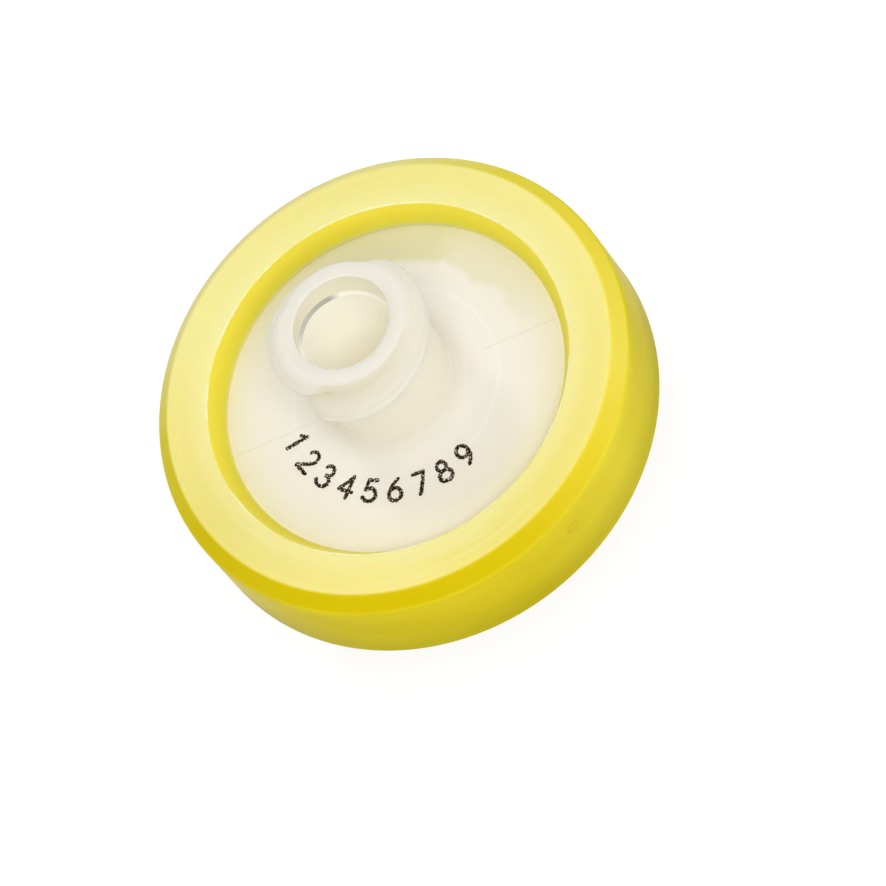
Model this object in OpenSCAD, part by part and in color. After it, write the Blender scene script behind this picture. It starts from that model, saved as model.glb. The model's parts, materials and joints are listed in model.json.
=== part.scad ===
// Disposable syringe filter: two moulded housing halves clamp a filter membrane,
// and a ring moulded round their edge holds them together.
// Liquid enters at the female luer lock port, which faces up, and leaves at the male
// luer tip. The filter stands on the end of that tip, with the origin in its middle.

/* [Overmoulded ring] */
// Outer diameter of the ring
ring_d = 24; // [23:0.1:32]
// Height of the ring
ring_h = 6; // [4.8:0.1:9]
// Inner diameter of the ring's flat faces
ring_face_d = 18.4; // [17.8:0.1:20]
// Width of the chamfer on the ring's outer edges
ring_chamfer_w = 0.73; // [0.2:0.01:1]
// Height of the chamfer on the ring's outer edges
ring_chamfer_h = 0.8; // [0.4:0.05:1.2]
// Wall of the ring outside the housing halves
ring_wall = 1.7; // [1.2:0.1:2.4]
// Diameter of the round window in the ring that leaves the disc open
window_d = 17.1; // [15.6:0.1:17.6]

/* [Inlet half] */
// Thickness of the inlet plate
inlet_plate_t = 1.67; // [1.2:0.01:2]
// Depth of the space over the membrane that spreads the liquid
spread_depth = 0.35; // [0.2:0.05:0.6]
// Diameter of the filtering area, inside the clamped edge of the membrane
filter_d = 14.6; // [11:0.1:15.5]

/* [Inlet port] */
// Height of the port above the inlet plate
port_h = 7.4; // [7:0.1:9]
// Outer diameter of the port's stem and rim
port_d = 6.4; // [6:0.1:7]
// Diameter of the straight lead-in at the port's mouth
lead_in_d = 4.86; // [4.5:0.02:5.2]
// Depth of the straight lead-in
lead_in_depth = 1.35; // [0.5:0.05:2]
// Diameter at the wide end of the female luer cone
socket_d = 4.3; // [4.2:0.01:4.4]
// Length of the female luer cone
socket_len = 6.3; // [5.5:0.1:6.8]
// Diameter of the hole from the socket to the membrane
inlet_hole_d = 1.6; // [0.8:0.1:2.4]
// Radius of the fillet where the port meets the plate
port_fillet = 1; // [0.4:0.1:1.5]

/* [Luer lock lugs] */
// Diameter over the two lugs
lug_d = 7.86; // [7.2:0.02:8.2]
// Advance of the lugs' thread in one turn
lug_lead = 5; // [4:0.1:6]
// Height of a lug along its crest
lug_crest_h = 0.9; // [0.6:0.1:1.4]
// Height of each sloping flank of a lug
lug_flank_h = 0.45; // [0.2:0.05:0.6]
// Angle that one lug turns through
lug_sweep = 220; // [120:2:240]
// Angle from +X at which the first lug leaves the rim
lug_start = 40; // [0:1:360]

/* [Outlet half] */
// Thickness of the outlet plate
outlet_plate_t = 1.67; // [1.2:0.01:2]
// Depth of the drain channels under the membrane
drain_depth = 0.45; // [0.2:0.05:0.7]
// Width of each round rib that carries the membrane
rib_w = 0.4; // [0.2:0.05:0.6]
// Spacing of the round ribs
rib_pitch = 1.1; // [0.8:0.05:1.25]
// Number of straight channels that lead across the ribs to the outlet
drain_count = 6; // [3:1:8]
// Width of the straight channels
drain_w = 0.8; // [0.4:0.05:1]

/* [Outlet tip] */
// Diameter of the boss at the root of the tip
boss_d = 6.4; // [5.4:0.1:8]
// Height of the boss above the outlet plate
boss_h = 2.5; // [1.5:0.1:4]
// Radius of the fillet where the boss meets the plate
boss_fillet = 0.8; // [0.3:0.1:1.2]
// Diameter at the end of the male luer cone
tip_d = 3.96; // [3.92:0.01:4.02]
// Length of the male luer cone
tip_len = 8; // [7.5:0.1:10]
// Diameter of the bore through the outlet tip
outlet_bore_d = 2.1; // [1.4:0.1:2.6]
// Width of the chamfer at the end of the tip
tip_chamfer_w = 0.12; // [0.05:0.01:0.2]
// Length of the chamfer at the end of the tip
tip_chamfer_h = 0.2; // [0.15:0.01:0.4]

/* [Membrane] */
// Diameter of the membrane
membrane_d = 17; // [16:0.1:18]
// Thickness of the membrane with its backing
membrane_t = 0.2; // [0.1:0.02:0.4]
// Clearance round the edge of the membrane
membrane_gap = 0.1; // [0.05:0.01:0.2]

/* [Hidden] */
$fn = 96;

LUER_TAPER = 0.06;              // change of diameter along a luer cone
LUG_COUNT = 2;
LUG_STEPS = 28;                 // sections swept along one lug
LUG_ROOT = 0.3;                 // depth to which a lug is rooted in the port's wall
LUG_SINK = 0.15;                // depth of a lug's crest in that wall at its very ends
LUG_NOSE = 0.06;                // height of a lug's crest at its start
LUG_LAG = 19;                   // degrees that a lug turns before its thread advances
LUG_RUN_OUT = 17;               // degrees over which the ends of a lug fade away
RIM_EDGE = 0.1;                 // height of the rim's edge above the lugs
OVERCUT = 1;                    // how far a cutting shape stands clear of what it cuts

// Heights above the end of the outlet tip
cone_root = tip_len;
outlet_face = cone_root + boss_h;
seat_z = outlet_face + outlet_plate_t;
clamp_z = seat_z + membrane_t;
inlet_face = clamp_z + inlet_plate_t;
rim_z = inlet_face + port_h;
ledge_z = rim_z - lead_in_depth;
socket_end = ledge_z - socket_len;
ring_middle = (outlet_face + inlet_face) / 2;

flange_r = ring_d / 2 - ring_wall;
socket_end_d = socket_d - LUER_TAPER * socket_len;
cone_start_d = tip_d + LUER_TAPER * tip_chamfer_h;
cone_root_d = tip_d + LUER_TAPER * tip_len;
lug_h = (lug_d - port_d) / 2;
shoulder_h = lug_flank_h;       // drop of the sloping shoulder from the rim to a lug's crest

groove_w = rib_pitch - rib_w;
groove_count = floor((filter_d - outlet_bore_d) / 2 / rib_pitch);

// Height of a lug's lower crest edge at the angle a from where the lug starts,
// and of its upper one, which the sloping shoulder of the rim cuts off
function lug_low(a) = rim_z - shoulder_h - max(LUG_NOSE, lug_lead * (a - LUG_LAG) / 360);
function lug_high(a) = min(lug_low(a) + lug_crest_h, rim_z - shoulder_h);

// How far the crest stands out of the port's wall: both ends sink back into it
function lug_rise(a) = min(lug_h, (lug_h + LUG_SINK) * min(a, lug_sweep - a) / LUG_RUN_OUT - LUG_SINK);

// One section across a lug, from its root under the crest to its root over it
function lug_section(a) =
    let (root = port_d / 2 - LUG_ROOT,
         crest = port_d / 2 + lug_rise(a),
         flank = lug_flank_h * (crest - root) / lug_h)
    [for (p = [[root, lug_low(a) - flank],
               [crest, lug_low(a)],
               [crest, lug_high(a)],
               [root, min(lug_high(a) + flank, rim_z - RIM_EDGE)]])
        [p[0] * cos(a), -p[0] * sin(a), p[1]]];

// A fillet in the corner between a flat face, along X, and a wall, along Y
module corner_fillet(radius) {
    difference() {
        square(radius);
        translate([radius, radius]) circle(radius);
    }
}

// The ring grips both plates from above and below, and is the same on both faces
module overmould_ring() {
    color([0.93, 0.87, 0.30])
    rotate_extrude()
    polygon([
        [flange_r, inlet_face],
        [window_d / 2, inlet_face],
        [ring_face_d / 2, ring_middle + ring_h / 2],
        [ring_d / 2 - ring_chamfer_w, ring_middle + ring_h / 2],
        [ring_d / 2, ring_middle + ring_h / 2 - ring_chamfer_h],
        [ring_d / 2, ring_middle - ring_h / 2 + ring_chamfer_h],
        [ring_d / 2 - ring_chamfer_w, ring_middle - ring_h / 2],
        [ring_face_d / 2, ring_middle - ring_h / 2],
        [window_d / 2, outlet_face],
        [flange_r, outlet_face],
    ]);
}

// One of the two right-handed lugs that a luer lock collar screws onto
module lug() {
    corners = len(lug_section(0));
    sections = [for (i = [0:LUG_STEPS]) lug_section(i * lug_sweep / LUG_STEPS)];
    last = LUG_STEPS * corners;
    polyhedron(
        points = [for (s = sections) for (p = s) p],
        faces = concat(
            [[for (j = [0:corners - 1]) j]],
            [for (i = [0:LUG_STEPS - 1]) for (j = [0:corners - 1])
                let (k = (j + 1) % corners)
                for (t = [[3, 1, 0], [3, 2, 1]])
                    [for (v = t) [i * corners + j, i * corners + k,
                                  (i + 1) * corners + k, (i + 1) * corners + j][v]]],
            [[for (j = [corners - 1:-1:0]) last + j]]));
}

// The upper half: a round plate with the female luer lock port in its middle
module inlet_housing() {
    color([0.95, 0.94, 0.90])
    difference() {
        union() {
            translate([0, 0, clamp_z]) cylinder(h = inlet_plate_t, r = flange_r);
            translate([0, 0, inlet_face]) cylinder(h = port_h, d = port_d);
            translate([0, 0, inlet_face])
                rotate_extrude() translate([port_d / 2, 0]) corner_fillet(port_fillet);
            for (i = [0:LUG_COUNT - 1]) rotate(lug_start + i * 360 / LUG_COUNT) lug();
        }
        // Lead-in, luer cone and the hole at its end
        translate([0, 0, ledge_z]) cylinder(h = lead_in_depth + OVERCUT, d = lead_in_d);
        translate([0, 0, socket_end]) cylinder(h = socket_len, d1 = socket_end_d, d2 = socket_d);
        translate([0, 0, clamp_z]) cylinder(h = ledge_z - clamp_z, d = inlet_hole_d);
        // Space over the membrane
        translate([0, 0, clamp_z - OVERCUT])
            cylinder(h = spread_depth + OVERCUT, d = filter_d);
    }
}

// The drain under the membrane: round grooves that leave ribs between them to carry it,
// and straight channels that lead across the ribs to the outlet
module drain() {
    depth = drain_depth + OVERCUT;
    translate([0, 0, seat_z - drain_depth]) {
        for (i = [0:groove_count - 1])
            let (groove_r = filter_d / 2 - i * rib_pitch)
            difference() {
                cylinder(h = depth, r = groove_r);
                translate([0, 0, -OVERCUT])
                    cylinder(h = depth + 2 * OVERCUT, r = groove_r - groove_w);
            }
        for (i = [0:drain_count - 1])
            rotate(i * 360 / drain_count)
            translate([0, -drain_w / 2, 0])
                cube([filter_d / 2 - groove_w / 2, drain_w, depth]);
    }
}

// The lower half: a round plate with the male luer tip, and a seat for the membrane
module outlet_housing() {
    color([0.95, 0.94, 0.90])
    difference() {
        union() {
            cylinder(h = tip_chamfer_h, d1 = tip_d - 2 * tip_chamfer_w, d2 = cone_start_d);
            translate([0, 0, tip_chamfer_h])
                cylinder(h = tip_len - tip_chamfer_h, d1 = cone_start_d, d2 = cone_root_d);
            translate([0, 0, cone_root]) cylinder(h = boss_h, d = boss_d);
            translate([0, 0, outlet_face]) mirror([0, 0, 1])
                rotate_extrude() translate([boss_d / 2, 0]) corner_fillet(boss_fillet);
            translate([0, 0, outlet_face]) cylinder(h = clamp_z - outlet_face, r = flange_r);
        }
        translate([0, 0, -OVERCUT]) cylinder(h = seat_z + 2 * OVERCUT, d = outlet_bore_d);
        translate([0, 0, seat_z])
            cylinder(h = membrane_t + OVERCUT, r = membrane_d / 2 + membrane_gap);
        drain();
    }
}

// The filter itself, clamped between the plates all round its edge
module membrane() {
    color([0.98, 0.98, 0.97])
    translate([0, 0, seat_z]) cylinder(h = membrane_t, d = membrane_d);
}

overmould_ring();
inlet_housing();
outlet_housing();
membrane();
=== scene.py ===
"""A disposable syringe filter, standing on its outlet tip, seen from above its inlet port."""

import json
import math

import bpy
from mathutils import Matrix, Vector, noise

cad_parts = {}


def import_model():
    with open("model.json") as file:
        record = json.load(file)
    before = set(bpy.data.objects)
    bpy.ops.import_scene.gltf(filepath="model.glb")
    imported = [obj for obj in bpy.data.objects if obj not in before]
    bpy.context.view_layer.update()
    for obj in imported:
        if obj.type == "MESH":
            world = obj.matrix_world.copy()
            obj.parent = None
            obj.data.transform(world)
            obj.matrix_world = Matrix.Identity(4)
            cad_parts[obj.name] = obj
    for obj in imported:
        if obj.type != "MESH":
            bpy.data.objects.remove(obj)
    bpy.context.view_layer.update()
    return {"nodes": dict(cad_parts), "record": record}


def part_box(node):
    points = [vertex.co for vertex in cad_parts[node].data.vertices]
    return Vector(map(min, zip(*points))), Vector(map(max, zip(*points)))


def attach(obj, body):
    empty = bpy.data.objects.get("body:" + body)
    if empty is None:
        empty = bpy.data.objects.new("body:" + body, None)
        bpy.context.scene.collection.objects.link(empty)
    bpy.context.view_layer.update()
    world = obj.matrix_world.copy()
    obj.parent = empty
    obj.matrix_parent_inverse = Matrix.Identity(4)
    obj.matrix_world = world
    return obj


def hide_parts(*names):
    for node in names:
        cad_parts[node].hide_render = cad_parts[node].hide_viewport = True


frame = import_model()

MM = 0.001

# All the sizes down to the studio are in millimetres, and all the angles in degrees
SEAM = 0.01          # hair's breadth between pieces that touch

# Measured on the frame
ring_low, ring_high = [Vector(p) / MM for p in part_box("overmould_ring")]
inlet_low, inlet_high = [Vector(p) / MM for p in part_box("inlet_housing")]
membrane_low, membrane_high = [Vector(p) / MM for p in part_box("membrane")]
lead_in = next(m for m in frame["record"]["mounts"] if m["name"] == "inlet_lead_in")

RING_R = ring_high.x - SEAM
RING_TOP, RING_BOTTOM = ring_high.z, ring_low.z
RIM_Z = inlet_high.z
CLAMP_Z = inlet_low.z
SEAT_Z = membrane_low.z
FLANGE_R = inlet_high.x
MEMBRANE_R = membrane_high.x
LEAD_IN_R = lead_in["dims"]["r_mm"]
LEDGE_Z = RIM_Z - lead_in["dims"]["length_mm"]

# The same sizes as the part's own source
RING_FACE_R, RING_CHAMFER_W, RING_CHAMFER_H = 9.2, 0.73, 0.8
WINDOW_R = 8.55
PLATE_T, SPREAD_DEPTH, FILTER_R = 1.67, 0.35, 7.3
PORT_R = 3.2
SOCKET_R, SOCKET_LEN, LUER_TAPER, INLET_HOLE_R = 2.15, 6.3, 0.06, 0.8
LUG_H, LUG_LEAD, LUG_CREST_H, LUG_FLANK_H = 0.73, 5.0, 0.9, 0.45
LUG_COUNT, LUG_SWEEP, LUG_START = 2, 220, 40
LUG_LAG, LUG_NOSE = 19, 0.06            # how far a lug turns before it falls, and its crest's height there
LUG_RUN_OUT, LUG_SINK = 17, 0.15        # how fast a lug's ends fade out, and the depth they fade to
DRAIN_DEPTH, RIB_PITCH, RIB_W = 0.45, 1.1, 0.4
BOSS_R, BOSS_FILLET = 3.2, 0.8
TIP_R, TIP_LEN, OUTLET_BORE_R = 1.98, 8.0, 1.05
TIP_CHAMFER_W, TIP_CHAMFER_H = 0.12, 0.2
MEMBRANE_GAP = 0.1

INLET_FACE = CLAMP_Z + PLATE_T
OUTLET_FACE = SEAT_Z - PLATE_T
SOCKET_END = LEDGE_Z - SOCKET_LEN
GROOVE_COUNT = int((FILTER_R - OUTLET_BORE_R) / RIB_PITCH)

# Finer forms of the moulding, made only here
TINY_EDGE, FINE_EDGE, EDGE = 0.03, 0.05, 0.1       # radii of softened edges
RING_OUTER_EDGE, RING_INNER_EDGE, RING_FOOT_EDGE = 0.35, 0.16, 0.06
BOSS_EDGE = 0.15
PORT_FILLET = 1.3                       # larger than the solid's
LUG_LIP, LUG_LIP_H = 0.12, 0.5          # the crest's flare at its lower edge
LIP_START, LIP_RUN_IN, LIP_END, LIP_RUN_OUT = 60, 50, 205, 40    # where along a lug the flare is
FLASH_H = 0.04                          # the burr along the ring's inner edge
GATE_TURN, GATE_Z, GATE_R = -79.6, 13.18, 0.28     # where the ring's gate left its mark
PARTING_TURN = -19.5                    # direction of the hairline across the housing, from +X
# The step between the port's mouth and its luer cone: a steep band that leans and lies off the axis
LEDGE_TOP_R, LEDGE_FOOT_R, LEDGE_H = 2.35, 2.25, 0.25
LEDGE_TOP_SHIFT, LEDGE_FOOT_SHIFT, LEDGE_TILT, LEDGE_TURN = 0.16, 0.1, 0.15, 180

SEGMENTS = 480
ARC_STEPS = 6


# ---------------------------------------------------------------- shapes

def rounded(corners):
    """An outline from (r, z, radius) corners, with each corner rounded by its radius."""
    outline = []
    for i, (r, z, radius) in enumerate(corners):
        here = Vector((r, z))
        back = Vector(corners[i - 1][:2]) - here
        ahead = Vector(corners[(i + 1) % len(corners)][:2]) - here
        if not radius:
            outline.append(here)
            continue
        half = back.angle(ahead) / 2
        reach = min(radius / math.tan(half), 0.45 * back.length, 0.45 * ahead.length)
        radius = reach * math.tan(half)
        centre = here + (back.normalized() + ahead.normalized()).normalized() * radius / math.sin(half)
        start = here + back.normalized() * reach - centre
        end = here + ahead.normalized() * reach - centre
        # A point just off each end of the arc keeps smooth shading from spreading along the flat
        outline.append(here + back.normalized() * min(1.3 * reach, 0.48 * back.length))
        for k in range(ARC_STEPS + 1):
            outline.append(centre + radius * start.slerp(end, k / ARC_STEPS))
        outline.append(here + ahead.normalized() * min(1.3 * reach, 0.48 * ahead.length))
    return outline


def split(outline, step, inside):
    """Adds points, no further apart than step, to the stretches whose ends are both inside."""
    out = []
    for i, a in enumerate(outline):
        b = outline[(i + 1) % len(outline)]
        out.append(a)
        parts = math.ceil((b - a).length / step) if inside(a.x, a.y) and inside(b.x, b.y) else 1
        out += [a.lerp(b, k / parts) for k in range(1, parts)]
    return out


def lathe(name, outline, shape=None):
    """A closed solid of revolution about Z. shape may move a point, given its angle, r and z."""
    verts, faces = [], []
    count = len(outline)
    for i in range(SEGMENTS):
        turn = 2 * math.pi * i / SEGMENTS
        for p in reversed(outline):     # backwards, so that the faces look outward
            r, z = shape(turn, p.x, p.y) if shape else (p.x, p.y)
            verts.append((r * math.cos(turn) * MM, r * math.sin(turn) * MM, z * MM))
    for i in range(SEGMENTS):
        a, b = i * count, (i + 1) % SEGMENTS * count
        for j in range(count):
            k = (j + 1) % count
            faces.append((a + j, b + j, b + k, a + k))
    return solid(name, verts, faces)


def solid(name, verts, faces, smooth=True):
    """A new object from vertices and faces."""
    mesh = bpy.data.meshes.new(name)
    mesh.from_pydata(verts, [], faces)
    mesh.update()
    if smooth:
        mesh.shade_smooth()
    piece = bpy.data.objects.new(name, mesh)
    bpy.context.scene.collection.objects.link(piece)
    return piece


def dress(piece, material, slot, *nodes):
    """Gives a piece its material, puts it under the root body, and hides the CAD nodes that it stands for;
    the slot is not used.
    """
    piece.data.materials.clear()
    piece.data.materials.append(material)
    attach(piece, "root")
    if nodes:
        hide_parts(*nodes)


def keep(piece, name, value):
    """Keeps a number on every vertex, from its angle, r and z, for the material to read."""
    layer = piece.data.attributes.new(name, "FLOAT", "POINT")
    for vertex, item in zip(piece.data.vertices, layer.data):
        x, y, z = vertex.co / MM
        item.value = value(math.atan2(y, x), math.hypot(x, y), z)


def keep_zone(piece, name, outline, inside):
    """Keeps 1 on the vertices of a lathed piece whose outline points are inside, and 0 on the rest."""
    layer = piece.data.attributes.new(name, "FLOAT", "POINT")
    layer.data.foreach_set("value", [float(inside(p.x, p.y)) for p in reversed(outline)] * SEGMENTS)


def clamp(value):
    """A number held between 0 and 1."""
    return min(max(value, 0), 1)


def soft_min(a, b, blend):
    """The smaller of two numbers, with the change from one to the other rounded off."""
    share = max(blend - abs(a - b), 0) / blend
    return min(a, b) - share * share * blend / 4


def lug_edge(turn, lug):
    """How far along a lug an angle is, in degrees, and the height of its crest's lower edge there."""
    along = (LUG_START + 360 * lug / LUG_COUNT - math.degrees(turn)) % 360
    return along, RIM_Z - LUG_FLANK_H - max(LUG_NOSE, LUG_LEAD * (along - LUG_LAG) / 360)


def lug_profile(turn, z):
    """At an angle and height: how far the lugs stand out of the port's wall, and how much of
    the first lug's crest, painted lighter, and of its lower edge, painted with a highlight, is there, from
    0 to 1."""
    end_blend, top_blend, foot_blend, wall_blend = 0.5, 0.45, 0.08, 0.1
    slope = LUG_H / LUG_FLANK_H
    height, crest, edge = 0, 0, 0
    for lug in range(LUG_COUNT):
        along, low = lug_edge(turn, lug)
        if along > LUG_SWEEP:
            continue
        high = min(low + LUG_CREST_H, RIM_Z - LUG_FLANK_H)
        rise = (LUG_H + LUG_SINK) * min(along, LUG_SWEEP - along) / LUG_RUN_OUT - LUG_SINK
        body = soft_min(soft_min(rise, LUG_H, end_blend), (high + LUG_FLANK_H - z) * slope, top_blend)
        middle = clamp((along - LIP_START) / LIP_RUN_IN) * clamp((LIP_END - along) / LIP_RUN_OUT)
        lip = clamp((low + LUG_LIP_H - z) / LUG_LIP_H) * middle
        body += LUG_LIP * lip * clamp(body / LUG_H)
        body = soft_min(body, (z - low + LUG_FLANK_H) * slope, foot_blend)
        body = -soft_min(-body, 0, wall_blend)
        height = max(height, body)
        if lug == 0:
            share = min(body / LUG_H, 1)
            crest = share * clamp((high + 0.1 - z) / 0.3)
            edge = min(1.6 * share, 1) * min(3 * lip, 1)
    return height, crest, edge


# ---------------------------------------------------------------- materials

BLACK, WHITE = (0, 0, 0), (1, 1, 1)


def linear(code):
    """A linear colour from a hexadecimal sRGB one."""
    channels = [int(code[i:i + 2], 16) / 255 for i in (0, 2, 4)]
    return tuple(c / 12.92 if c <= 0.04045 else ((c + 0.055) / 1.055) ** 2.4 for c in channels)


class Shader:
    """A short way to write a node material."""

    def __init__(self, name):
        self.material = bpy.data.materials.new(name)
        self.material.use_nodes = True
        self.tree = self.material.node_tree
        self.body = self.tree.nodes["Principled BSDF"]

    def node(self, kind, **settings):
        made = self.tree.nodes.new(kind)
        for key, value in settings.items():
            setattr(made, key, value)
        return made

    def link(self, source, target):
        self.tree.links.new(source, target)

    def set(self, **values):
        """Sets constants on the material's sockets."""
        for key, value in values.items():
            self.body.inputs[key.replace("_", " ")].default_value = value

    def drive(self, **sources):
        """Links outputs to the material's sockets."""
        for key, source in sources.items():
            self.link(source, self.body.inputs[key.replace("_", " ")])

    def fill(self, sockets, values):
        """Puts a number, a colour, its code or an output into each socket. None leaves one as it is."""
        for socket, value in zip(sockets, values):
            if isinstance(value, str):
                value = linear(value)
            if isinstance(value, tuple):
                value = (*value, 1)
            if isinstance(value, (int, float, tuple)):
                socket.default_value = value
            elif value is not None:
                self.link(value, socket)

    def math(self, operation, a, b=None):
        made = self.node("ShaderNodeMath", operation=operation)
        self.fill(made.inputs, (a, b))
        return made.outputs[0]

    def polar(self):
        """About the filter's axis: radius in mm, angle in radians, height in mm, and the angle as
        a share of the whole turn, from 0 to 1."""
        coords = self.node("ShaderNodeTexCoord")
        parts = self.node("ShaderNodeSeparateXYZ")
        self.link(coords.outputs["Object"], parts.inputs[0])
        x, y, z = parts.outputs
        turn = self.math("ARCTAN2", y, x)
        around = self.math("ADD", self.math("DIVIDE", turn, 2 * math.pi), 0.5)
        return self.math("DIVIDE", self.length(x, y), MM), turn, self.math("DIVIDE", z, MM), around

    def length(self, a, b):
        """The length of a vector from its two parts."""
        return self.math("SQRT", self.math("ADD", self.math("MULTIPLY", a, a), self.math("MULTIPLY", b, b)))

    def kept(self, name):
        """A number kept on the vertices."""
        return self.node("ShaderNodeAttribute", attribute_name=name).outputs["Fac"]

    def noise(self, vector, scale, detail):
        made = self.node("ShaderNodeTexNoise")
        made.inputs["Scale"].default_value = scale
        made.inputs["Detail"].default_value = detail
        self.link(vector, made.inputs["Vector"])
        return made.outputs["Fac"]

    def noise_around(self, turn, size, third, scale=1.0, detail=3):
        """Noise that closes up on itself round the axis."""
        made = self.node("ShaderNodeCombineXYZ")
        self.fill(made.inputs, (self.math("MULTIPLY", self.math("COSINE", turn), size),
                                self.math("MULTIPLY", self.math("SINE", turn), size), third))
        return self.noise(made.outputs[0], scale, detail)

    def grain(self):
        """Fine even noise through the whole piece."""
        coords = self.node("ShaderNodeTexCoord")
        return self.noise(coords.outputs["Object"], 9000.0, 2)

    def tones(self, value, stops, span=1.0):
        """Colour codes along a value that runs from 0 to span."""
        return self.ramp(value, [(place, linear(code)) for place, code in stops], span)

    def levels(self, value, stops, span=1.0):
        """Grey levels along a value that runs from 0 to span."""
        return self.ramp(value, [(place, (level, level, level)) for place, level in stops], span)

    def ramp(self, value, stops, span):
        made = self.node("ShaderNodeValToRGB")
        elements = made.color_ramp.elements
        while len(elements) < len(stops):
            elements.new(0.5)
        for element, (place, colour) in zip(elements, stops):
            element.position = place / span
            element.color = (*colour, 1)
        self.link(value if span == 1 else self.math("DIVIDE", value, span), made.inputs[0])
        return made.outputs[0]

    def mix(self, share, a, b, blend="MIX"):
        made = self.node("ShaderNodeMix", data_type="RGBA", blend_type=blend)
        self.fill((made.inputs[0], made.inputs[6], made.inputs[7]), (share, a, b))
        return made.outputs[2]

    def bump(self, height, strength, distance):
        made = self.node("ShaderNodeBump")
        made.inputs["Strength"].default_value = strength
        made.inputs["Distance"].default_value = distance
        self.link(height, made.inputs["Height"])
        self.drive(Normal=made.outputs[0])


def ring_material():
    """Yellow plastic: pale on top from a painted sheen, stronger on the chamfer, the side and the inner
    wall.
    """
    s = Shader("yellow_ring")
    r, turn, z, around = s.polar()
    streaks = s.noise_around(turn, 1.5, s.math("ADD", s.math("MULTIPLY", r, 9), z), detail=4)
    clouds = s.noise_around(turn, 2.0, s.math("MULTIPLY", s.math("ADD", r, z), 0.6), detail=2)

    # The side wall, with painted shade that darkens it towards its foot
    colour = s.tones(clouds, [(0.3, "E3CD1E"), (0.7, "ECD828")])
    # A painted highlight: a paler upright band on the side wall at one place round the ring
    painted_side_highlight = s.levels(around, [(0.24, 0), (0.33, 0.6), (0.37, 0.4), (0.42, 0)])
    colour = s.mix(painted_side_highlight, colour, "FFEE4C")
    painted_foot_shade = s.tones(s.math("SUBTRACT", RING_TOP, z), [
        (1.0, "FAFAFA"), (3.0, "F2F2F2"), (4.75, "DADCDA")], 5.0)
    colour = s.mix(1.0, colour, painted_foot_shade, "MULTIPLY")

    # The chamfer, in tones that change round the ring: a painted reflection, pale along one part of the
    # ring and deep yellow along another
    level = s.math("SUBTRACT", z, RING_TOP - RING_CHAMFER_H)
    chamfer_painted_reflection = s.tones(around, [
        (0.0, "D8C214"), (0.09, "DCC60B"), (0.17, "DCC60C"), (0.25, "DFC914"), (0.33, "ECD736"),
        (0.39, "F1E058"), (0.5, "ECDA40"), (0.57, "E9D944"), (0.65, "EFE48A"), (0.84, "EFE38A"),
        (0.92, "DDCE38"), (1.0, "D8C214")])
    outer = s.levels(r, [(11.1, 0), (11.2, 1)], 20.0)
    on_top = s.levels(level, [(0.05, 0), (0.12, 1)])
    colour = s.mix(s.math("MULTIPLY", outer, on_top), colour, chamfer_painted_reflection)

    # The inner wall pales towards the housing
    wall_tones = s.tones(s.math("SUBTRACT", z, INLET_FACE), [
        (0.0, "FBF4CC"), (0.06, "F6EC98"), (0.22, "F1DE4E"), (0.5, "EFDD48"), (0.95, "F4E24E")])
    inner = s.levels(r, [(9.2, 1), (9.3, 0)], 20.0)
    colour = s.mix(inner, colour, wall_tones)

    # The flat top, with a painted sheen that changes round the ring and grows towards the inner edge, and
    # pale streaks; and the burr along its inner edge
    top_painted_sheen = s.tones(around, [
        (0.0, "EBDF80"), (0.09, "F3E68F"), (0.17, "F4E790"), (0.25, "EDE180"), (0.33, "F1E485"),
        (0.5, "F5E997"), (0.67, "F1E68D"), (0.83, "F6EC9D"), (0.92, "F2E58E"), (1.0, "EBDF80")])
    inner_edge_sheen = s.levels(r, [(9.5, 0.35), (10.4, 0)], 20.0)
    top_painted_sheen = s.mix(inner_edge_sheen, top_painted_sheen, "FAF2B8")
    streak_sheen = s.math("MULTIPLY", s.levels(streaks, [(0.45, 0), (0.7, 0.4)]),
                  s.levels(clouds, [(0.4, 0), (0.65, 1)]))
    top_painted_sheen = s.mix(streak_sheen, top_painted_sheen, "F6F0B4")
    flat = s.levels(level, [(0.73, 0), (0.79, 1)])
    colour = s.mix(flat, colour, top_painted_sheen)
    # A painted glint along the burr
    colour = s.mix(s.kept("burr_glint"), colour, "FFFBD8")

    # A faint round mark on the side wall, where the ring was filled
    along = s.math("MULTIPLY", s.math("SUBTRACT", turn, math.radians(GATE_TURN)), RING_R)
    away = s.length(along, s.math("SUBTRACT", z, GATE_Z))
    gate = s.levels(away, [(GATE_R - 0.15, 0), (GATE_R, 0.3), (GATE_R + 0.15, 0)])
    s.drive(Base_Color=s.mix(gate, colour, "C4A608"))
    s.set(Roughness=0.3, IOR=1.45, Specular_IOR_Level=0.01, Subsurface_Weight=0.6,
          Subsurface_Radius=(1.0, 0.75, 0.08), Subsurface_Scale=1.2 * MM)
    s.bump(streaks, 0.15, 0.02 * MM)
    return s.material


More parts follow.
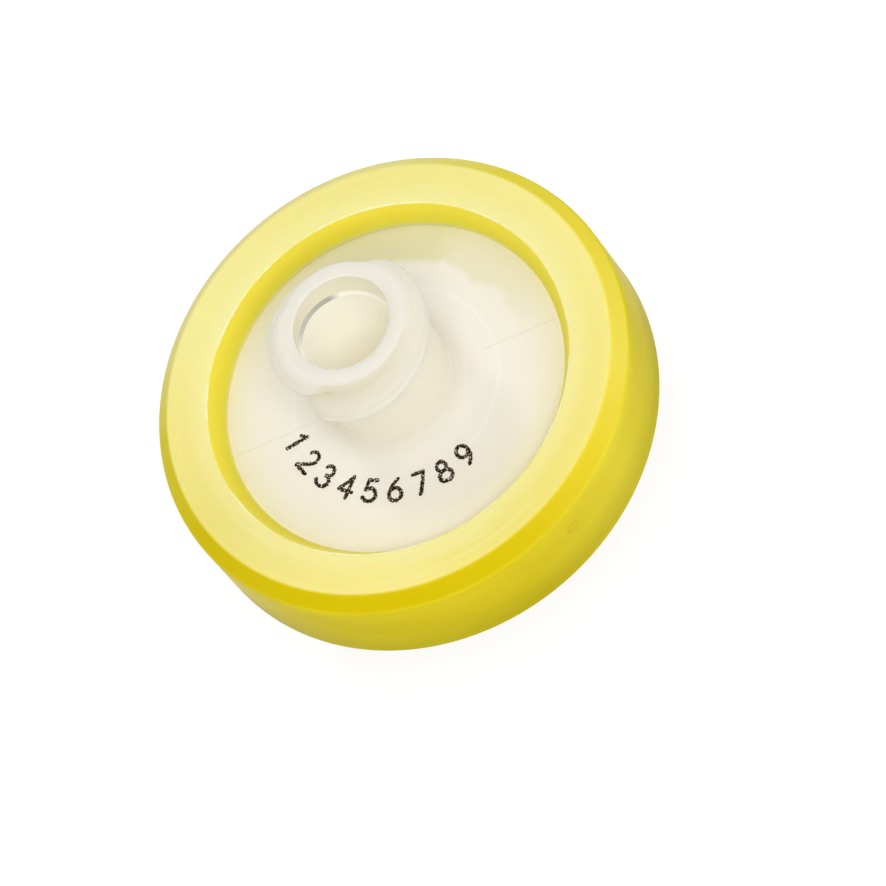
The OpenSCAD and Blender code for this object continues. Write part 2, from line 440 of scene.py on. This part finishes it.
def plate_colour(s, r, turn, around):
    """The housing's plate: milky, yellower towards the ring, with a moulder's circle and a hairline."""
    wander = s.noise_around(turn, 1.0, s.math("MULTIPLY", r, 0.4), scale=1.5, detail=2)
    wandering_r = s.math("ADD", r, s.math("MULTIPLY", wander, 0.2))
    plate = s.tones(wandering_r, [
        (3.0, "F3EFE4"), (4.2, "F3EEE1"), (5.2, "F3EEE1"), (5.35, "F6F2E7"), (5.45, "F3EEE1"),
        (7.2, "F1ECDA"), (7.7, "EFEAD2"), (8.5, "EEE7C6"), (8.7, "F8F0C0")], 10.0)

    # Painted refraction: the ring's yellow-green seen through the clear plate, in a ragged band along the
    # far part of the ring; and a paler stretch near the front
    ragged = s.noise_around(turn, 2.2, 0.3)
    ragged_r = s.math("SUBTRACT", r, s.math("MULTIPLY", ragged, 3))
    painted_ring_tint = s.math("MULTIPLY", s.levels(ragged_r, [(5.0, 0), (5.4, 1)], 10.0),
                   s.levels(around, [(0.44, 0), (0.5, 0.35), (0.58, 0.45), (0.61, 0.85), (0.69, 0.8),
                                     (0.76, 0.3), (0.83, 0)]))
    plate = s.mix(painted_ring_tint, plate, "DED8A4")
    paler = s.math("MULTIPLY", s.levels(wandering_r, [(6.8, 0), (7.6, 1)], 10.0),
                   s.levels(around, [(0.03, 0), (0.1, 0.6), (0.22, 0.6), (0.27, 0)]))
    plate = s.mix(paler, plate, "F2EBD8")

    off_line = s.math("SINE", s.math("SUBTRACT", turn, math.radians(PARTING_TURN)))
    across = s.math("ABSOLUTE", s.math("MULTIPLY", r, off_line))
    hairline = s.math("MULTIPLY", s.levels(across, [(0.02, 0.2), (0.05, 0)]),
                      s.levels(r, [(4.4, 0), (4.6, 1)], 10.0))
    return s.mix(hairline, plate, "BDB79A")


def port_colour(s, height, inside):
    """The port: its wall, lugs and rim outside, and its mouth and cone inside."""
    # Painted shade on the lugs and on the wall just below the rim, painted light on the first lug's crest,
    # and a painted highlight along its lower edge
    painted_lug_shade = s.math("MINIMUM", s.math("DIVIDE", s.kept("lug"), LUG_H), 1.0)
    wall = s.tones(height, [(5.0, "F4EFE2"), (6.2, "E0D9C6")], 10.0)
    wall = s.mix(painted_lug_shade, wall, "DED8CA")
    wall = s.mix(s.kept("crest"), wall, "E9E2D4")
    wall = s.mix(s.kept("lug_edge"), wall, "FFFDF6")
    rim = s.levels(height, [(7.25, 0), (7.39, 1)], 10.0)
    outside = s.mix(rim, wall, "E3DDCF")
    # Paler in the luer cone: painted light, for light that comes through the thin wall
    bore = s.mix(s.kept("cone"), "F3EFDA", "FDFBF3")
    # A painted highlight along the mouth's edge
    return s.mix(s.kept("mouth"), s.mix(inside, outside, bore), "F8F1E2")


def housing_material():
    """Natural polypropylene: milky, and clearer in the thin wall of the port."""
    s = Shader("natural_polypropylene")
    r, turn, z, around = s.polar()
    height = s.math("SUBTRACT", z, INLET_FACE)
    inside = s.kept("bore")
    port_share = s.levels(height, [(0, 0), (1.0, 1)], 10.0)
    colour = s.mix(port_share, plate_colour(s, r, turn, around), port_colour(s, height, inside))
    # Painted shade: a grey arc on part of the ledge
    ledge_painted_shade = s.levels(around, [(0.69, 0), (0.73, 0.7), (0.88, 0.5), (0.95, 0)])
    colour = s.mix(s.math("MULTIPLY", s.kept("ledge"), ledge_painted_shade), colour, "77766A")
    s.drive(Base_Color=colour,
            Roughness=s.levels(height, [(0, 0.5), (1.0, 0.2), (7.2, 0.2), (7.35, 0.45)], 10.0),
            Subsurface_Weight=s.mix(port_share, (0.2, 0.2, 0.2), s.mix(inside, WHITE, BLACK)))
    s.set(IOR=1.45, Specular_IOR_Level=0.4, Subsurface_Radius=(1.0, 0.98, 0.9), Subsurface_Scale=4.0 * MM)

    # A painted glow in the bore, standing in for light that comes through the thin wall of the port
    s.drive(Emission_Color=s.mix(s.kept("cone"), BLACK, "DFF3FF"))
    s.set(Emission_Strength=0.019)
    s.bump(s.noise_around(turn, 3.0, s.math("ADD", s.math("MULTIPLY", r, 1.5), z)), 0.1, 0.02 * MM)
    return s.material


def membrane_material():
    """A white porous sheet."""
    s = Shader("membrane")
    grain = s.grain()
    s.drive(Base_Color=s.tones(grain, [(0.3, "F2F0EA"), (0.7, "FAF9F5")]))
    s.set(Roughness=0.85)
    s.bump(grain, 0.2, 0.01 * MM)
    return s.material


def ink_material():
    """Black ink with paler specks."""
    s = Shader("black_ink")
    s.drive(Base_Color=s.tones(s.grain(), [(0.35, "180E02"), (0.55, "2E2208"), (0.7, "66542E")]))
    s.set(Roughness=0.55, Specular_IOR_Level=0.1)
    return s.material


# ---------------------------------------------------------------- pieces

def overmould_ring():
    """The ring, with softened edges and a faint burr along its upper inner edge."""
    shoulder_r = RING_R - RING_CHAMFER_W
    top = [(WINDOW_R, INLET_FACE, RING_FOOT_EDGE), (RING_FACE_R, RING_TOP, RING_INNER_EDGE),
           (shoulder_r, RING_TOP, RING_OUTER_EDGE), (RING_R, RING_TOP - RING_CHAMFER_H, RING_OUTER_EDGE)]
    bottom = [(RING_R, RING_BOTTOM + RING_CHAMFER_H, RING_OUTER_EDGE),
              (shoulder_r, RING_BOTTOM, RING_OUTER_EDGE),
              (RING_FACE_R, RING_BOTTOM, RING_INNER_EDGE), (WINDOW_R, OUTLET_FACE, RING_FOOT_EDGE)]
    groove = [(FLANGE_R, OUTLET_FACE, 0), (FLANGE_R, INLET_FACE, 0)]

    def burr_glint(turn, r, z):
        """How much of the burr is there, from 0 to 1: none away from the top's inner edge."""
        if abs(r - RING_FACE_R - 0.02) > 0.05 or z < RING_TOP - 0.1:
            return 0
        ragged = noise.noise(Vector((4 * math.cos(turn), 4 * math.sin(turn), 0.5)))
        fine = noise.noise(Vector((30 * math.cos(turn), 30 * math.sin(turn), 2.5)))
        return clamp(0.35 + 1.2 * ragged + 0.6 * fine)

    made = lathe("ring", rounded(top + bottom + groove),
                 lambda turn, r, z: (r, z + FLASH_H * burr_glint(turn, r, z)))
    keep(made, "burr_glint", lambda turn, r, z: 0.6 * burr_glint(turn, r, min(z, RING_TOP)))
    return made


def inlet_half():
    """The upper half: plate, port, socket and lock lugs."""
    under = CLAMP_Z + SPREAD_DEPTH
    cone_end_r = SOCKET_R - LUER_TAPER * SOCKET_LEN / 2
    plate = [(INLET_HOLE_R, under, FINE_EDGE), (FILTER_R, under, EDGE),
             (FILTER_R, CLAMP_Z + SEAM, FINE_EDGE), (FLANGE_R - SEAM, CLAMP_Z + SEAM, EDGE),
             (FLANGE_R - SEAM, INLET_FACE - SEAM, EDGE)]
    port = [(PORT_R, INLET_FACE - SEAM, PORT_FILLET), (PORT_R, RIM_Z, EDGE), (LEAD_IN_R, RIM_Z, FINE_EDGE),
            (LEDGE_TOP_R, LEDGE_Z + LEDGE_H, TINY_EDGE), (LEDGE_FOOT_R, LEDGE_Z, TINY_EDGE),
            (cone_end_r, SOCKET_END, EDGE), (INLET_HOLE_R, SOCKET_END, FINE_EDGE)]

    def on_wall(r, z):
        """Whether a point is on the port's outer wall, above its fillet, or on a lug."""
        return r > PORT_R - 0.12 and z > INLET_FACE + 1.1

    def in_bore(r, z):
        """Whether a point is on the walls inside the port."""
        return r < LEAD_IN_R + 0.01 and under < z < RIM_Z - 0.03

    def shape(turn, r, z):
        """Raises the lugs, and leans and shifts the ledge, fading towards the rim and the socket's end."""
        if on_wall(r, z):
            r += lug_profile(turn, z)[0]
        if r < LEAD_IN_R + 0.07 and z > SOCKET_END:
            share = min((RIM_Z - z) / (RIM_Z - LEDGE_Z), (z - SOCKET_END) / SOCKET_LEN)
            lean = share * math.cos(turn - math.radians(LEDGE_TURN))
            shift = LEDGE_TOP_SHIFT if z > LEDGE_Z + LEDGE_H / 2 else LEDGE_FOOT_SHIFT
            return r + shift * lean, z + LEDGE_TILT * r * lean
        return r, z

    def on_lug(part):
        return lambda turn, r, z: lug_profile(turn, z)[part] if on_wall(r, z) else 0

    outline = split(rounded(plate + port), step=0.08, inside=on_wall)
    half = lathe("inlet_half", outline, shape)
    # The first lug's crest and lower edge are kept for painted light and a painted highlight
    for part, name in enumerate(("lug", "crest", "lug_edge")):
        keep(half, name, on_lug(part))
    keep_zone(half, "bore", outline, in_bore)
    keep_zone(half, "cone", outline, lambda r, z: in_bore(r, z) and z < LEDGE_Z + LEDGE_H)
    keep_zone(half, "ledge", outline, lambda r, z: in_bore(r, z) and LEDGE_Z <= z <= LEDGE_Z + LEDGE_H)
    keep_zone(half, "mouth", outline, lambda r, z: LEAD_IN_R <= r < LEAD_IN_R + 0.05 and z > RIM_Z - 0.06)
    return half


def outlet_half():
    """The lower half: plate with its drain grooves, boss and luer tip."""
    seat, drain = SEAT_Z - SEAM, SEAT_Z - DRAIN_DEPTH
    root_r = TIP_R + LUER_TAPER * TIP_LEN / 2
    start_r = TIP_R + LUER_TAPER * TIP_CHAMFER_H / 2
    tip = [(OUTLET_BORE_R, 0, FINE_EDGE), (TIP_R - TIP_CHAMFER_W, 0, TINY_EDGE),
           (start_r, TIP_CHAMFER_H, EDGE), (root_r, TIP_LEN, EDGE), (BOSS_R, TIP_LEN, BOSS_EDGE),
           (BOSS_R, OUTLET_FACE + SEAM, BOSS_FILLET)]
    recess_r = MEMBRANE_R + MEMBRANE_GAP
    plate = [(FLANGE_R - SEAM, OUTLET_FACE + SEAM, EDGE), (FLANGE_R - SEAM, CLAMP_Z - SEAM, EDGE),
             (recess_r, CLAMP_Z - SEAM, TINY_EDGE), (recess_r, seat, TINY_EDGE)]
    grooves = []
    for i in range(GROOVE_COUNT):
        outer = FILTER_R - i * RIB_PITCH
        inner = outer - RIB_PITCH + RIB_W
        grooves += [(outer, seat, FINE_EDGE), (outer, drain, 0),
                    (inner, drain, 0), (inner, seat, FINE_EDGE)]
    return lathe("outlet_half", rounded(tip + plate + grooves + [(OUTLET_BORE_R, seat, FINE_EDGE)]))


ring = overmould_ring()
inlet = inlet_half()
outlet = outlet_half()
housing = housing_material()
dress(ring, ring_material(), "ring", "overmould_ring")
dress(inlet, housing, "housing", "inlet_housing")
dress(outlet, housing, "housing", "outlet_housing")
membrane = frame["nodes"]["membrane"]
membrane.data.materials.clear()
membrane.data.materials.append(membrane_material())


# ---------------------------------------------------------------- print

def arc(x, y, rx, ry, start, end, steps=14):
    """Points along an arc of an ellipse about (x, y)."""
    turns = [math.radians(start + (end - start) * k / steps) for k in range(steps + 1)]
    return [(x + rx * math.cos(t), y + ry * math.sin(t)) for t in turns]


# Plain digits, as strokes in a box DIGIT_W wide and 1 high
DIGIT_W = 0.62
DIGITS = {
    1: [[(0.12, 0.78), (0.34, 1.0), (0.34, 0.0)]],
    2: [arc(0.31, 0.72, 0.27, 0.28, 165, -40) + [(0.04, 0.0), (0.6, 0.0)]],
    3: [arc(0.29, 0.76, 0.24, 0.24, 155, -85), arc(0.29, 0.27, 0.29, 0.27, 88, -155)],
    4: [[(0.46, 0.0), (0.46, 1.0), (0.02, 0.3), (0.62, 0.3)]],
    5: [[(0.56, 1.0), (0.13, 1.0), (0.09, 0.56)] + arc(0.29, 0.32, 0.29, 0.31, 130, -150)],
    6: [arc(0.31, 0.3, 0.27, 0.3, 0, 360), [(0.05, 0.38), (0.16, 0.72), (0.44, 1.0)]],
    7: [[(0.04, 1.0), (0.6, 1.0), (0.22, 0.0)]],
    8: [arc(0.31, 0.76, 0.22, 0.24, 0, 360), arc(0.31, 0.27, 0.28, 0.27, 0, 360)],
    9: [arc(0.31, 0.7, 0.27, 0.3, 0, 360), [(0.57, 0.62), (0.46, 0.28), (0.18, 0.0)]],
}
PRINT_R = 5.43           # radius of the middle of the digits
PRINT_MIDDLE = -139      # where the row of digits has its middle, from +X
PRINT_STEP = 13.5        # the angle from one digit to the next
DIGIT_H = 1.12
STROKE = 0.19
INK_CELL = 0.03          # the grid that the ink is drawn on
INK_T = 0.012
INK_STRAY = 0.35         # how far a stroke's width strays, as a share of it
INK_BARE = 0.36          # noise above this level leaves a bare speck


def stroke_distance(x, y, strokes):
    """Distance from a point to the nearest stroke of a digit."""
    best = math.inf
    for stroke in strokes:
        for (ax, ay), (bx, by) in zip(stroke, stroke[1:]):
            dx, dy = bx - ax, by - ay
            share = clamp(((x - ax) * dx + (y - ay) * dy) / (dx * dx + dy * dy))
            best = min(best, math.hypot(x - ax - share * dx, y - ay - share * dy))
    return best


def inked_cells(digit, seed):
    """The cells of a fine grid that hold ink: a ragged stroke with a few bare specks."""
    strokes = [[(x * DIGIT_H, y * DIGIT_H) for x, y in stroke] for stroke in DIGITS[digit]]
    columns = int((DIGIT_W * DIGIT_H + 2 * STROKE) / INK_CELL)
    rows = int((DIGIT_H + 2 * STROKE) / INK_CELL)
    cells = set()
    for i in range(columns):
        for j in range(rows):
            x, y = i * INK_CELL - STROKE, j * INK_CELL - STROKE
            ragged = noise.noise(Vector((x * 11, y * 11, seed))) * INK_STRAY
            speck = noise.noise(Vector((x * 16, y * 16, seed + 50)))
            if stroke_distance(x, y, strokes) < STROKE / 2 * (1 + ragged) and speck < INK_BARE:
                cells.add((i, j))
    return cells


def ink_print():
    """All the digits, as one thin film of ink on the plate."""
    verts, faces, index = [], [], {}

    def corner(place, level, digit, i, j):
        """The vertex at a corner of the grid, at the foot (0) or on top (1) of the film."""
        key = (digit, i, j, level)
        if key not in index:
            x = i * INK_CELL - STROKE - DIGIT_W / 2 * DIGIT_H
            y = j * INK_CELL - STROKE - DIGIT_H / 2
            r = PRINT_R - y
            turn = place + x / PRINT_R
            index[key] = len(verts)
            verts.append((r * math.cos(turn) * MM, r * math.sin(turn) * MM,
                          (INLET_FACE - SEAM + level * INK_T) * MM))
        return index[key]

    for n, digit in enumerate(DIGITS):
        place = math.radians(PRINT_MIDDLE + (n - (len(DIGITS) - 1) / 2) * PRINT_STEP)
        cells = inked_cells(digit, digit * 7.3)
        for i, j in cells:
            square = [(i, j), (i + 1, j), (i + 1, j + 1), (i, j + 1)]
            faces.append([corner(place, 1, digit, *c) for c in square])
            faces.append([corner(place, 0, digit, *c) for c in square[::-1]])
            sides = [((i, j - 1), 0, 1), ((i + 1, j), 1, 2), ((i, j + 1), 2, 3), ((i - 1, j), 3, 0)]
            for neighbour, a, b in sides:
                if neighbour not in cells:
                    around = ((0, a), (0, b), (1, b), (1, a))
                    faces.append([corner(place, level, digit, *square[c]) for level, c in around])
    return solid("ink_digits", verts, faces, smooth=False)


dress(ink_print(), ink_material(), "housing")


# ---------------------------------------------------------------- studio

# Lengths from here on are in metres, and the lens in millimetres
VIEW_ELEVATION = 57.9
VIEW_ROLL = 40.0
VIEW_DISTANCE = 0.4
VIEW_LENS = 340.8
AIM = Vector((0.00242, -0.00283))    # from the filter's axis at AIM_Z to the middle of the picture
AIM_Z = 14.47 * MM

LAMP_DISTANCE = 0.6
LAMP_AIM_Z = 0.012
SKY_LIGHT = 0.56
FLOOR_GREY = 0.75        # what the floor sends back to the filter
SHOWN_GREY = 0.4         # what takes the shadow, where the floor is seen
FLOOR_GLOW = 0.68        # brings the floor to white, where it is seen


def camera():
    """A long lens, level with +X before it rolls."""
    elevation, roll = math.radians(VIEW_ELEVATION), math.radians(VIEW_ROLL)
    back = Vector((0, -math.cos(elevation), math.sin(elevation)))
    level = Vector((1, 0, 0))
    upright = back.cross(level)
    right = level * math.cos(roll) - upright * math.sin(roll)
    up = level * math.sin(roll) + upright * math.cos(roll)
    data = bpy.data.cameras.new("camera")
    data.lens = VIEW_LENS
    data.sensor_width = 36
    data.clip_start, data.clip_end = 0.01, 10
    made = bpy.data.objects.new("camera", data)
    turn = Matrix((right, up, back)).transposed().to_4x4()
    made.matrix_world = Matrix.Translation(
        Vector((0, 0, AIM_Z)) + right * AIM.x + up * AIM.y + back * VIEW_DISTANCE) @ turn
    bpy.context.scene.collection.objects.link(made)
    bpy.context.scene.camera = made


def softbox(name, azimuth, elevation, size, radiance, mirrored=True):
    """A round soft lamp that shines at the filter. Azimuth 0 is the camera's side."""
    data = bpy.data.lights.new(name, "AREA")
    data.shape = "DISK"
    data.size = size
    data.energy = radiance * math.pi * math.pi * size * size / 4
    made = bpy.data.objects.new(name, data)
    made.visible_glossy = mirrored
    az, el = math.radians(azimuth), math.radians(elevation)
    towards = Vector((math.sin(az) * math.cos(el), -math.cos(az) * math.cos(el), math.sin(el)))
    made.location = towards * LAMP_DISTANCE + Vector((0, 0, LAMP_AIM_Z))
    made.rotation_euler = towards.to_track_quat("Z", "Y").to_euler()
    bpy.context.scene.collection.objects.link(made)


def seen(tree):
    """1 for rays from the camera, a reflection or a transmission, and 0 for the rest."""
    path = tree.nodes.new("ShaderNodeLightPath")
    total = path.outputs["Is Camera Ray"]
    for name in ("Is Glossy Ray", "Is Transmission Ray"):
        add = tree.nodes.new("ShaderNodeMath")
        add.operation = "MAXIMUM"
        tree.links.new(total, add.inputs[0])
        tree.links.new(path.outputs[name], add.inputs[1])
        total = add.outputs[0]
    return total


def world():
    """A white world that is seen at full strength and shines at SKY_LIGHT."""
    made = bpy.data.worlds.new("studio")
    made.use_nodes = True
    tree = made.node_tree
    background = tree.nodes["Background"]
    strength = tree.nodes.new("ShaderNodeMix")
    strength.data_type = "FLOAT"
    strength.inputs[2].default_value = SKY_LIGHT
    strength.inputs[3].default_value = 1.0
    tree.links.new(seen(tree), strength.inputs[0])
    tree.links.new(strength.outputs[0], background.inputs["Strength"])
    background.inputs["Color"].default_value = (1, 1, 1, 1)
    bpy.context.scene.world = made


def floor():
    """A white floor that still takes a soft shadow."""
    half = 1.0
    made = solid("floor", [(-half, -half, 0), (half, -half, 0), (half, half, 0), (-half, half, 0)],
                 [(0, 1, 2, 3)], smooth=False)
    material = bpy.data.materials.new("floor")
    material.use_nodes = True
    tree = material.node_tree
    tree.nodes.clear()
    plain = tree.nodes.new("ShaderNodeBsdfDiffuse")
    plain.inputs["Color"].default_value = (FLOOR_GREY, FLOOR_GREY, FLOOR_GREY, 1)
    shown = tree.nodes.new("ShaderNodeBsdfDiffuse")
    shown.inputs["Color"].default_value = (SHOWN_GREY, SHOWN_GREY, SHOWN_GREY, 1)
    glow = tree.nodes.new("ShaderNodeEmission")
    glow.inputs["Strength"].default_value = FLOOR_GLOW
    both = tree.nodes.new("ShaderNodeAddShader")
    choice = tree.nodes.new("ShaderNodeMixShader")
    out = tree.nodes.new("ShaderNodeOutputMaterial")
    tree.links.new(shown.outputs[0], both.inputs[0])
    tree.links.new(glow.outputs[0], both.inputs[1])
    tree.links.new(seen(tree), choice.inputs[0])
    tree.links.new(plain.outputs[0], choice.inputs[1])
    tree.links.new(both.outputs[0], choice.inputs[2])
    tree.links.new(choice.outputs[0], out.inputs[0])
    made.data.materials.append(material)


camera()
floor()
world()
softbox("key", azimuth=180, elevation=VIEW_ELEVATION, size=0.105, radiance=12.6)
softbox("fill", azimuth=0, elevation=VIEW_ELEVATION, size=0.3, radiance=7.4, mirrored=False)
softbox("strip", azimuth=98, elevation=24.0, size=0.035, radiance=40.0)
bpy.context.scene.view_settings.view_transform = "Standard"
cycles = bpy.context.scene.cycles
cycles.max_bounces, cycles.diffuse_bounces, cycles.transmission_bounces = 32, 24, 24
